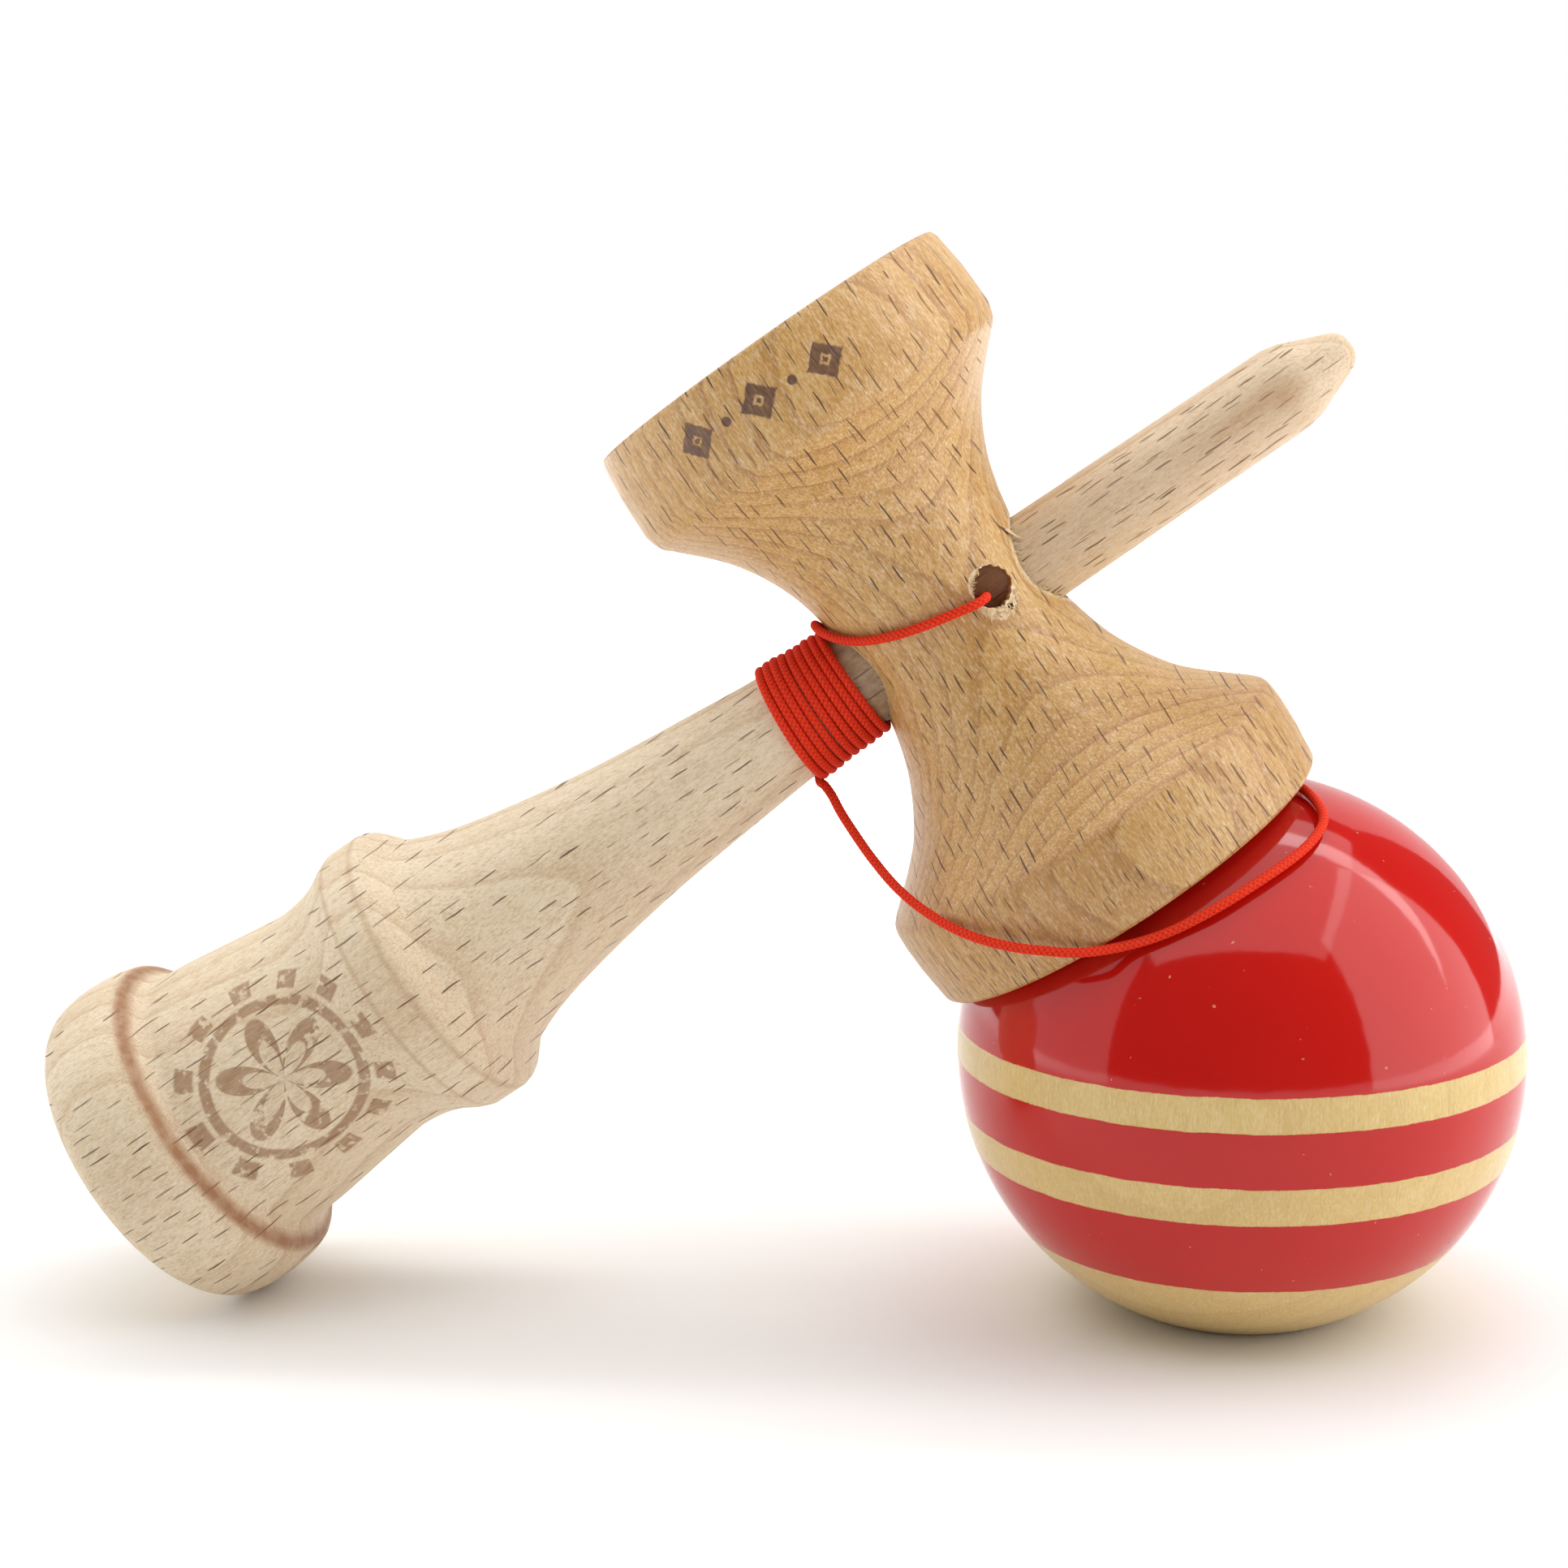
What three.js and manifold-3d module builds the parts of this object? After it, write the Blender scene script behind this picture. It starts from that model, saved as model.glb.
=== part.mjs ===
// Kendama at rest: the ball stands on the rim of its hole, the cross-piece's large cup sits on the
// ball, and the handle leans down until the rim of its base cup meets the surface.
// Millimetres, +Z up, the handle in the XZ plane with its spike towards +X.
import * as THREE from 'three';
import { mergeVertices } from 'three/addons/utils/BufferGeometryUtils.js';
import Module from 'manifold-3d';

// Driving dimensions.
const BALL_RADIUS = 30;
const FOOT_RADIUS = 12; // outer edge of the bevelled hole, which the ball stands on
const TILT = THREE.MathUtils.degToRad(33.47); // handle above level, and cup axis off the vertical
const BALL_TO_CROSS = 55.94; // ball centre to handle axis, along the cup axis
const CUP_SHIFT = 0.8; // the string under the rim holds the cup this far off centre
const STRING_RADIUS = 0.5;
const TURN_SEGMENTS = 36;

// Handle (ken), along its own axis from the cross-piece's axis, the spike positive.
const SPIKE_END = 49.5;
const BASE_END = -108.2;
const BASE_CUP_RADIUS = 15.9;
const BASE_CUP_DEPTH = 7;

// Cross-piece (sarado), along its own axis from the handle's axis, the small cup positive.
const LARGE_RIM = -33.64;
const LARGE_CUP_RADIUS = 21.3;
const LARGE_CUP_DEPTH = 14;
const SMALL_RIM = 33.96;
const SMALL_CUP_RADIUS = 18.95;
const SMALL_CUP_DEPTH = 12;
const BORE_GAP = 0.28;
const STRING_HOLE_RADIUS = 2.2;
const STRING_HOLE = { x: 5.95, y: -8.9, z: 0.7 }; // middle of its mouth
const STRING_HOLE_TURN = THREE.MathUtils.degToRad(12); // from the front, towards the spike
const POCKET_RADIUS = 1.9;
const POCKET_ROOF = 8.6;
const SARADO_KNOT = { x: 2.5, y: -6.9, z: 0, radius: 1.2 };

// Ball (tama), from its centre.
const HOLE_RADIUS = 8.5;
const HOLE_LAND = 1; // flat ring between the bevel and the ball's surface
const HOLE_ROOF_EDGE = 10;
const HOLE_ROOF_TOP = 14;
const STRING_BORE_RADIUS = 1.4;
const STRING_MOUTH_RADIUS = 2.8;
const BEAD = { z: 7.4, radius: 3.5, bore: 0.95 };
const BALL_KNOT = { z: 1.9, radius: 1.5 };

const footHeight = Math.sqrt(BALL_RADIUS ** 2 - FOOT_RADIUS ** 2);

const WOOD_PALE = new THREE.MeshStandardMaterial({ color: 0xdfc8a4, roughness: 0.62, metalness: 0 });
const WOOD_GOLD = new THREE.MeshStandardMaterial({ color: 0xcfa873, roughness: 0.6, metalness: 0 });
const LACQUER = new THREE.MeshStandardMaterial({ color: 0xb71a16, roughness: 0.16, metalness: 0 });
const BRAID = new THREE.MeshStandardMaterial({ color: 0xd8301c, roughness: 0.85, metalness: 0 });
const BEAD_WOOD = new THREE.MeshStandardMaterial({ color: 0xd6bb8e, roughness: 0.6, metalness: 0 });

const wasm = await Module();
wasm.setup();

// Outline helpers: x is the radius and y the place along the axis of turning.
function points(...pairs) {
  return pairs.map(([x, y]) => new THREE.Vector2(x, y));
}

function arc(centreY, radius, from, to, steps) {
  const list = [];
  for (let i = 0; i <= steps; i += 1) {
    const angle = from + ((to - from) * i) / steps;
    list.push(new THREE.Vector2(radius * Math.cos(angle), centreY + radius * Math.sin(angle)));
  }
  return list;
}

function smooth(steps, ...pairs) {
  return new THREE.SplineCurve(points(...pairs)).getPoints(steps);
}

// A cup's hollow as part of a sphere, from the axis out to its rim. side is the way it opens.
function hollow(rim, radius, depth, side, steps) {
  const sphere = (radius ** 2 + depth ** 2) / (2 * depth);
  const centre = rim + side * (sphere - depth);
  const edge = Math.acos(radius / sphere);
  return arc(centre, sphere, (-side * Math.PI) / 2, -side * edge, steps);
}

// Removes the doubled vertices of the seam and the empty triangles at the axis.
function weld(geometry) {
  geometry.deleteAttribute('normal');
  geometry.deleteAttribute('uv');
  const welded = mergeVertices(geometry, 1e-4);
  const index = welded.index.array;
  const kept = [];
  for (let i = 0; i < index.length; i += 3) {
    const [a, b, c] = index.slice(i, i + 3);
    if (a !== b && b !== c && c !== a) kept.push(a, b, c);
  }
  welded.setIndex(kept);
  return welded;
}

// An outline turned round +Z. Its outer side runs upwards.
function turned(outline, segments = TURN_SEGMENTS) {
  const geometry = weld(new THREE.LatheGeometry(outline, segments));
  geometry.rotateX(Math.PI / 2);
  return geometry;
}

function toSolid(geometry) {
  const vertProperties = new Float32Array(geometry.attributes.position.array);
  const triVerts = new Uint32Array(geometry.index.array);
  return new wasm.Manifold(new wasm.Mesh({ numProp: 3, vertProperties, triVerts }));
}

function toGeometry(solid) {
  const mesh = solid.getMesh();
  const geometry = new THREE.BufferGeometry();
  geometry.setAttribute('position', new THREE.BufferAttribute(new Float32Array(mesh.vertProperties), 3));
  geometry.setIndex(Array.from(mesh.triVerts));
  return geometry;
}

// A round cord along a list of points, with one straight step for each length of `step`.
function cord(route, step = 2.6) {
  const path = new THREE.CatmullRomCurve3(route.map((p) => new THREE.Vector3(...p)));
  const section = new THREE.Shape();
  section.absarc(0, 0, STRING_RADIUS, 0, 2 * Math.PI);
  const geometry = new THREE.ExtrudeGeometry(section, {
    steps: Math.ceil(path.getLength() / step),
    curveSegments: 4,
    extrudePath: path,
  });
  return weld(geometry);
}

function named(name, geometry, material) {
  geometry.computeVertexNormals();
  const mesh = new THREE.Mesh(geometry, material);
  mesh.name = name;
  return mesh;
}

// Handle: base cup, foot rim, barrel, slip-stop ridge, long neck, spike with a coned tip.
function kenOutline() {
  return [
    ...hollow(BASE_END, BASE_CUP_RADIUS, BASE_CUP_DEPTH, -1, 6),
    ...points([16.1, BASE_END], [16.9, BASE_END]),
    ...smooth(3, [17.7, -107.9], [18.5, -107.1], [19.05, -105.9]),
    ...smooth(4, [19.38, -103.6], [19.3, -101.2], [19.0, -99], [18.5, -97.6]),
    ...smooth(2, [17.5, -96.5], [16.5, -95.6], [16.0, -94.4]),
    ...smooth(6, [14.15, -81.5], [13.95, -79], [14.28, -76.2], [14.95, -74], [15.9, -72.2]),
    ...points([16.42, -70.8], [16.42, -67.4], [16.2, -66.6], [15.7, -65.9]),
    ...smooth(10, [14.75, -65], [13.05, -63], [10.7, -56], [8.2, -42], [6.45, -25.5], [6.0, -20]),
    ...points([5.55, -13], [5.22, -2], [5.0, 12], [4.62, 41.6], [4.2, 43.5], [1.6, 49.05]),
    ...points([1.15, SPIKE_END], [0, SPIKE_END]),
  ];
}

// Cross-piece: the large cup below, the small cup above, and the waist that the handle passes.
function saradoOutline() {
  return [
    ...hollow(LARGE_RIM, LARGE_CUP_RADIUS, LARGE_CUP_DEPTH, -1, 7),
    ...points([22.95, LARGE_RIM], [23.3, -33.25], [23.7, -29.4], [23.78, -26.6]),
    ...smooth(3, [23.65, -24.7], [23.3, -23.9], [22.25, -22.9]),
    ...smooth(7, [19.35, -20.4], [16.2, -17], [12.9, -10.9], [11, -3.4], [10.8, 0.56]),
    ...smooth(7, [11, 4], [12.5, 11.1], [15.58, 17.1], [20.13, 22.1]).slice(0, -1),
    ...smooth(3, [20.13, 22.1], [21.1, 23.1], [21.65, 24.9]),
    ...points([21.5, 29.5], [21, 33.3], [20.7, SMALL_RIM]),
    ...hollow(SMALL_RIM, SMALL_CUP_RADIUS, SMALL_CUP_DEPTH, 1, 6).reverse(),
  ];
}

// Tapered hole through the waist, the same turning as the handle with room to slide.
function boreOutline() {
  return points([0, -15], [5.62 + BORE_GAP, -15], [5.0 + BORE_GAP, 15], [0, 15]);
}

function alongX(geometry) {
  return geometry.rotateY(Math.PI / 2);
}

function saradoGeometry() {
  const bore = alongX(turned(boreOutline()));
  const stringHole = new THREE.CylinderGeometry(STRING_HOLE_RADIUS, STRING_HOLE_RADIUS, 9, 20);
  stringHole.rotateZ(STRING_HOLE_TURN);
  stringHole.translate(STRING_HOLE.x, STRING_HOLE.y, STRING_HOLE.z);
  const pocket = new THREE.CylinderGeometry(POCKET_RADIUS, POCKET_RADIUS, POCKET_ROOF - 3, 16);
  pocket.translate(SARADO_KNOT.x, -(POCKET_ROOF + 3) / 2, SARADO_KNOT.z);
  let body = toSolid(turned(saradoOutline()));
  for (const cut of [bore, weld(stringHole), weld(pocket)]) {
    body = body.subtract(toSolid(cut));
  }
  return toGeometry(body);
}

// Ball: one closed loop, from the land round the outside and back down through the two holes.
function tamaOutline() {
  const start = -Math.asin(footHeight / BALL_RADIUS);
  const end = Math.acos(STRING_MOUTH_RADIUS / BALL_RADIUS);
  const mouthDrop = STRING_MOUTH_RADIUS - STRING_BORE_RADIUS;
  const mouthTop = Math.sqrt(BALL_RADIUS ** 2 - STRING_MOUTH_RADIUS ** 2);
  const loop = [
    ...points([FOOT_RADIUS - HOLE_LAND, -footHeight]),
    ...arc(0, BALL_RADIUS, start, end, 22),
    ...points([STRING_BORE_RADIUS, mouthTop - mouthDrop], [STRING_BORE_RADIUS, HOLE_ROOF_TOP]),
    ...points([HOLE_RADIUS, HOLE_ROOF_EDGE], [HOLE_RADIUS, -24.4]),
  ];
  return [...loop, loop[0].clone()];
}

function beadOutline() {
  const edge = Math.acos(BEAD.bore / BEAD.radius);
  const side = arc(0, BEAD.radius, -edge, edge, 8);
  return [...side, side[0].clone()];
}

function ball(radius, length) {
  const geometry = new THREE.SphereGeometry(radius, 12, 8);
  geometry.scale(1, 1, length);
  return weld(geometry);
}

// The string wound on the neck: the outside of about ten turns.
function windingGeometry() {
  const section = [[6.4, -20.9], [6.98, -20.6], [6.5, -12.2], [6.1, -11.9], [5.85, -12.2], [6.4, -20.9]];
  return alongX(turned(points(...section), 32));
}

// From the knot in its pocket, out of the string hole and round the waist to the winding's top.
// In the frame of the cross-piece: +X to the spike, +Z to the small cup.
const LEAD_ROUTE = [
  [4.1, -6.4, 0.1], [4.55, -6.9, 0.1], [4.75, -8.2, 0.15], [4.9, -9.5, 0.2], [4.6, -10.65, 0.2],
  [3.4, -11.45, 0.35], [1.2, -11.6, 0.8], [-2.1, -11.5, 1.5], [-5.5, -10.4, 2.45],
  [-8.4, -8.3, 3.6], [-10.6, -5.7, 5.1], [-11.9, -3.1, 6.6], [-12.2, -1.1, 7.3],
];

// From the winding's underside, in front of the large cup, over the ball and under the rim into
// the ball's string hole. From the point on the surface below the ball's centre.
const LOOP_ROUTE = [
  [-43.65, -1.8, 56.85], [-42.85, -2.9, 56.0], [-41.8, -4.7, 54.5], [-40.4, -6.7, 52.8],
  [-38.3, -9.6, 50.5], [-35.5, -13.0, 48.0], [-32.2, -16.4, 46.1], [-28.3, -19.9, 44.8],
  [-24.0, -22.6, 44.2], [-20.6, -23.6, 44.0], [-17.3, -23.9, 43.9], [-13.2, -23.1, 44.3],
  [-9.0, -23.2, 45.6], [-4.3, -22.8, 47.9], [0.5, -20.7, 50.4], [4.2, -17.9, 52.3],
  [6.3, -15.2, 53.6], [7.4, -12.4, 54.7], [7.3, -9.9, 55.7], [6.2, -6.8, 56.8],
  [4.2, -4.7, 57.7], [2.5, -2.8, 58.2], [1.2, -1.3, 58.1], [0.3, -0.3, 57.0], [0, 0, 55.3],
];

// From the loop's end down through the bead, as far as the knot below it.
const INNER_ROUTE = [
  [0, 0, 55.0],
  [0, 0, 45.0],
  [0, 0, footHeight + BALL_KNOT.z + BALL_KNOT.radius + 0.4],
];

const crossPiece = new THREE.Group();
crossPiece.add(
  named('ken', alongX(turned(kenOutline())), WOOD_PALE),
  named('sarado', saradoGeometry(), WOOD_GOLD),
  named('string_winding', windingGeometry(), BRAID),
  named('string_lead', cord(LEAD_ROUTE), BRAID),
);
const saradoKnot = named('sarado_knot', ball(SARADO_KNOT.radius, 1), BRAID);
saradoKnot.position.set(SARADO_KNOT.x, SARADO_KNOT.y, SARADO_KNOT.z);
crossPiece.add(saradoKnot);
crossPiece.rotation.y = -TILT;
crossPiece.position.set(
  CUP_SHIFT * Math.cos(TILT) - BALL_TO_CROSS * Math.sin(TILT),
  0,
  footHeight + CUP_SHIFT * Math.sin(TILT) + BALL_TO_CROSS * Math.cos(TILT),
);

const tama = named('tama', turned(tamaOutline()), LACQUER);
const bead = named('tama_bead', turned(beadOutline(), 20), BEAD_WOOD);
bead.position.z = BEAD.z;
const ballKnot = named('tama_knot', ball(BALL_KNOT.radius, 1.15), BRAID);
ballKnot.position.z = BALL_KNOT.z;
const ballGroup = new THREE.Group();
ballGroup.add(tama, bead, ballKnot);
ballGroup.position.z = footHeight;

// The origin is under the middle of the wooden parts' box, on the surface.
const kendama = new THREE.Group();
kendama.add(crossPiece, ballGroup);
kendama.updateMatrixWorld(true);
const extent = new THREE.Box3().setFromObject(kendama, true);
kendama.add(named('string_loop', cord(LOOP_ROUTE), BRAID));
kendama.add(named('string_inner', cord(INNER_ROUTE, 6), BRAID));
kendama.position.set(-(extent.min.x + extent.max.x) / 2, -(extent.min.y + extent.max.y) / 2, -extent.min.z);

export default kendama;
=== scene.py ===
# Looks of a kendama at rest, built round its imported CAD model. Its lengths are in millimetres and
# go through MM, as Blender is in metres; the floor and the lights are in metres. +Z is up.
import math
import random

import bpy
import numpy as np
from mathutils import Matrix, Vector


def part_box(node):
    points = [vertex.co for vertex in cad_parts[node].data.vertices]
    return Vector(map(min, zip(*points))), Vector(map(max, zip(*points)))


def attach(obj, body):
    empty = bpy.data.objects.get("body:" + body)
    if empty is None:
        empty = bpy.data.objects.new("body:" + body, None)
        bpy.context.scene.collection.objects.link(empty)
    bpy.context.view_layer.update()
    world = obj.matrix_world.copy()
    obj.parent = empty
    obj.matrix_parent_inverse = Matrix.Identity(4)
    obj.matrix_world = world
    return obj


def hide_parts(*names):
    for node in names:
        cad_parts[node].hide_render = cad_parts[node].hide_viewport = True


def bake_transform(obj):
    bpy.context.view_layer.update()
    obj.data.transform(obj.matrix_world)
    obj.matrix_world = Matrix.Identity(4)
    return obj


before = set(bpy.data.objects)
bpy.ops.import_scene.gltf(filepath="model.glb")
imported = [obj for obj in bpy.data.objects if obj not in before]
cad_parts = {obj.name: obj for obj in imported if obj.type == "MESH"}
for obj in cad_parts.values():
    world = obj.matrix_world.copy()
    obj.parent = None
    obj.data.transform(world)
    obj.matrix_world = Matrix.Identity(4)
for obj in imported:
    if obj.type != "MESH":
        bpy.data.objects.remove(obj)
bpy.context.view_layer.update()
MM = 0.001

# ---------------------------------------------------------------- places in the part's frame

TILT = math.radians(33.47)  # handle above level, and cup axis off the vertical
BALL_RADIUS = 30.0
FOOT_RADIUS = 12.0
BALL_TO_CROSS = 55.94  # from the ball's middle along the cups' axis to the handle's
CUP_SHIFT = 0.8  # of the cups' axis from the ball's middle, along the handle
FOOT_HEIGHT = math.sqrt(BALL_RADIUS**2 - FOOT_RADIUS**2)

low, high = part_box("tama")
BALL_X = (low.x + high.x) / 2 / MM
CROSS = np.array([
    BALL_X + CUP_SHIFT * math.cos(TILT) - BALL_TO_CROSS * math.sin(TILT),
    0.0,
    FOOT_HEIGHT + CUP_SHIFT * math.sin(TILT) + BALL_TO_CROSS * math.cos(TILT),
])
ALONG_KEN = np.array([math.cos(TILT), 0.0, math.sin(TILT)])
ALONG_SARADO = np.array([-math.sin(TILT), 0.0, math.cos(TILT)])
ACROSS = np.array([0.0, 1.0, 0.0])


def placed(x_axis, z_axis, origin):
    """Matrix of a piece turned about its own Z: local millimetres become metres in place."""
    axes = np.column_stack([x_axis, ACROSS, z_axis])
    return Matrix([list(axes[row]) + [origin[row] * MM] for row in range(3)] + [[0, 0, 0, 1]])


KEN_PLACE = placed(-ALONG_SARADO, ALONG_KEN, CROSS)
SARADO_PLACE = placed(ALONG_KEN, ALONG_SARADO, CROSS)
BALL_PLACE = placed(np.array([1.0, 0, 0]), np.array([0, 0, 1.0]), [BALL_X, 0, FOOT_HEIGHT])


def from_cross(point):
    """A point given along the handle, across it and along the cups, in the part's frame, in mm."""
    return CROSS + point[0] * ALONG_KEN + point[1] * ACROSS + point[2] * ALONG_SARADO


# ---------------------------------------------------------------- camera

VIEW_TURN, VIEW_DOWN, VIEW_ROLL = (math.radians(a) for a in (-5.223, 9.237, -1.338))
VIEW_FROM = (BALL_X - 23.075, -265.405, 102.325)
LENS, SENSOR = 57.8776, 36.0
SHIFT_X, SHIFT_Y = -0.004643, -0.013204  # of the lens, in shares of the image's width


def make_camera():
    data = bpy.data.cameras.new("camera")
    camera = bpy.data.objects.new("camera", data)
    bpy.context.scene.collection.objects.link(camera)
    forward = Vector((
        math.sin(VIEW_TURN) * math.cos(VIEW_DOWN),
        math.cos(VIEW_TURN) * math.cos(VIEW_DOWN),
        -math.sin(VIEW_DOWN),
    ))
    level = Vector((math.cos(VIEW_TURN), -math.sin(VIEW_TURN), 0))
    upright = level.cross(forward)
    right = level * math.cos(VIEW_ROLL) + upright * math.sin(VIEW_ROLL)
    up = right.cross(forward)
    turn = Matrix((right, up, -forward)).transposed()
    camera.matrix_world = turn.to_4x4()
    camera.location = Vector(VIEW_FROM) * MM
    data.lens, data.sensor_width = LENS, SENSOR
    data.shift_x, data.shift_y = SHIFT_X, SHIFT_Y
    data.clip_start, data.clip_end = 0.01, 20
    bpy.context.scene.camera = camera


make_camera()

# ---------------------------------------------------------------- string: its routes

STRING = 0.98  # diameter
BRAID_RATE = 5.6  # of the strands' ridges, in radians for each mm of string

# From the knot out of the string hole and across the waist, as from_cross takes it.
LEAD = [
    [4.1, -6.4, 0.1], [4.55, -6.9, 0.1], [4.75, -8.2, 0.15], [4.9, -9.5, 0.2], [4.6, -10.65, 0.2],
    [3.4, -11.45, 0.35], [1.2, -11.6, 0.8], [-2.1, -11.5, 1.5], [-5.5, -10.4, 2.45],
    [-8.4, -8.3, 3.6], [-10.6, -5.7, 5.1], [-11.9, -3.1, 6.6], [-12.2, -1.1, 7.3],
]
# From the winding in front of the large cup, under its rim and down into the ball. X from BALL_X.
LOOP = [
    [-43.65, -1.8, 56.85], [-42.85, -2.9, 56.0], [-41.8, -4.7, 54.5], [-40.4, -6.7, 52.8],
    [-38.3, -9.6, 50.5], [-35.5, -13.0, 48.0], [-32.2, -16.4, 46.1], [-28.3, -19.9, 44.8],
    [-24.0, -22.6, 44.2], [-20.6, -23.6, 44.0], [-17.3, -23.9, 43.9], [-13.2, -23.1, 44.3],
    [-9.0, -23.2, 45.6], [-4.3, -22.8, 47.9], [0.5, -20.7, 50.4], [4.2, -17.9, 52.3],
    [6.3, -15.2, 53.6], [7.4, -12.4, 54.7], [7.3, -9.9, 55.7], [6.2, -6.8, 56.8],
    [4.2, -4.7, 57.7], [2.5, -2.8, 58.2], [1.2, -1.3, 58.1], [0.3, -0.3, 57.0], [0, 0, 55.3],
    [0, 0, 50.0], [0, 0, 45.0], [0, 0, 40.0], [0, 0, 35.0], [0, 0, 31.2],
]
TURNS = 9.5
TURN_STEPS = 24  # points in each turn
FIRST_TURN, LAST_TURN = -11.75, -20.55  # along the handle
TURN_RADIUS, TURN_TAPER, TAPER_FROM = 6.05, -0.058, -12.5
LEAN = 1.05  # of the last turn along the handle, from top to underside
BULGE = 0.3  # of the first turn towards the cross-piece, in front


def between(start, end, t, a, b):
    """The point at t on the line that is at a at start and at b at end."""
    return (end - t) / (end - start) * a + (t - start) / (end - start) * b


def through(points, steps=10):
    """A centripetal Catmull-Rom curve through points, with that many steps between two."""
    p = np.array(points, float)
    p = np.vstack([2 * p[0] - p[1], p, 2 * p[-1] - p[-2]])
    curve = []
    for i in range(1, len(p) - 2):
        chords = np.linalg.norm(np.diff(p[i - 1:i + 3], axis=0), axis=1)
        knots = np.concatenate([[0], np.cumsum(chords**0.5)])
        for t in np.linspace(knots[1], knots[2], steps, endpoint=False):
            a = [between(knots[j], knots[j + 1], t, p[i - 1 + j], p[i + j]) for j in range(3)]
            b = [between(knots[j], knots[j + 2], t, a[j], a[j + 1]) for j in range(2)]
            curve.append(between(knots[1], knots[2], t, b[0], b[1]))
    curve.append(p[-2])
    return np.array(curve)


def evenly(curve, step):
    """The same line with points that distance apart."""
    along = np.concatenate([[0], np.cumsum(np.linalg.norm(np.diff(curve, axis=0), axis=1))])
    count = max(2, round(along[-1] / step) + 1)
    wanted = np.linspace(0, along[-1], count)
    return np.column_stack([np.interp(wanted, along, curve[:, axis]) for axis in range(3)])


def winding_points():
    """Turns round the handle from its top, away behind it, to the underside: (along, across, up)."""
    rng = random.Random(5)
    nudges = [rng.uniform(-0.05, 0.05) for _ in range(int(TURNS) + 3)]
    swells = [rng.uniform(-0.06, 0.1) for _ in range(int(TURNS) + 3)]
    count = int(TURNS * TURN_STEPS)
    points = []
    for i in range(3, count + 1):
        turn = i / TURN_STEPS
        angle = 2 * math.pi * turn
        whole, part = int(turn), turn - int(turn)
        nudge = nudges[whole] * (1 - part) + nudges[whole + 1] * part
        x = FIRST_TURN + (LAST_TURN - FIRST_TURN) * turn / TURNS + nudge
        radius = TURN_RADIUS + TURN_TAPER * (x - TAPER_FROM)
        radius += swells[whole] * (1 - part) + swells[whole + 1] * part
        radius += 0.9 * max(0.0, 1 - turn / 0.22) ** 2  # comes down off the waist
        last = max(0.0, (turn - (TURNS - 0.12)) / 0.12)
        radius += 0.5 * last**2  # leaves for the loop
        x -= LEAN * (turn / TURNS) * (1 - math.cos(angle)) / 2
        x += BULGE * (1 - turn / TURNS) * max(0.0, -math.sin(angle))
        points.append([x, radius * math.sin(angle), radius * math.cos(angle)])
    return points


def string_line():
    """The string's centre line, split where the free loop starts, in mm in the part's frame."""
    held = [from_cross(p) for p in LEAD + winding_points()]
    free = [np.array(p) + [BALL_X, 0, 0] for p in LOOP]
    before_loop = free[0] + 0.5 * (free[0] - free[1])
    held[-1] = held[-1] * 0.7 + before_loop * 0.3  # eases the turn into the loop
    steps = 8
    whole = through(held + free, steps)
    split = len(held) * steps
    return whole[:split + 1], whole[split:]


held_line, free_line = string_line()


def relief(theta, s):
    """Height of the braid's strands, 0 to 1: two sets of ridges that pass over each other."""
    u, v = theta * 2 + s * BRAID_RATE, theta * 2 - s * BRAID_RATE
    ridge_u, ridge_v = np.abs(np.cos(u)), np.abs(np.cos(v))
    over = 0.5 + 0.5 * np.sin(u) * np.sin(v)
    return np.clip(over * ridge_u + (1 - over) * ridge_v, 0, 1)


def tube(name, line, diameter=STRING, around=14, step=0.105, braid=0.075):
    """A braided cord along a line in mm, closed at both ends, with the strands in its surface."""
    curve = evenly(line, step)
    tangent = np.gradient(curve, axis=0)
    tangent /= np.linalg.norm(tangent, axis=1)[:, None]
    side = np.cross(tangent[0], [0.3, 0.5, 0.8])
    sides = []
    for t in tangent:
        side = side - t * np.dot(side, t)
        side /= np.linalg.norm(side)
        sides.append(side)
    sides = np.array(sides)
    other = np.cross(tangent, sides)
    theta = np.arange(around) * 2 * math.pi / around
    s = np.arange(len(curve)) * step
    grid_s, grid_theta = np.meshgrid(s, theta, indexing="ij")
    height = relief(grid_theta, grid_s)
    radius = diameter / 2 * (1 - braid) + braid * 1.6 * diameter / 2 * height
    points = (
        curve[:, None, :]
        + radius[:, :, None] * np.cos(grid_theta)[:, :, None] * sides[:, None, :]
        + radius[:, :, None] * np.sin(grid_theta)[:, :, None] * other[:, None, :]
    )
    vertices = [tuple(p) for p in (points.reshape(-1, 3) * MM)]
    faces = []
    for i in range(len(curve) - 1):
        for j in range(around):
            k = (j + 1) % around
            here, there = i * around, (i + 1) * around
            faces.append((here + j, here + k, there + k, there + j))
    first, last = len(vertices), len(vertices) + 1
    vertices += [tuple(curve[0] * MM), tuple(curve[-1] * MM)]
    end = (len(curve) - 1) * around
    for j in range(around):
        k = (j + 1) % around
        faces.append((first, k, j))
        faces.append((last, end + j, end + k))
    piece = add_mesh(name, vertices, faces)
    values = np.append(height.ravel(), [1, 1])
    attribute = piece.data.attributes.new("braid", "FLOAT", "POINT")
    attribute.data.foreach_set("value", values.astype(np.float32))
    return piece


def add_mesh(name, vertices, faces, sharp_angle=None):
    mesh = bpy.data.meshes.new(name)
    mesh.from_pydata(vertices, [], faces)
    mesh.validate()
    piece = bpy.data.objects.new(name, mesh)
    bpy.context.scene.collection.objects.link(piece)
    smooth(mesh, sharp_angle)
    return piece


def smooth(mesh, sharp_angle=None):
    mesh.shade_smooth()
    if sharp_angle is not None:
        mesh.set_sharp_from_angle(angle=math.radians(sharp_angle))


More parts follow.
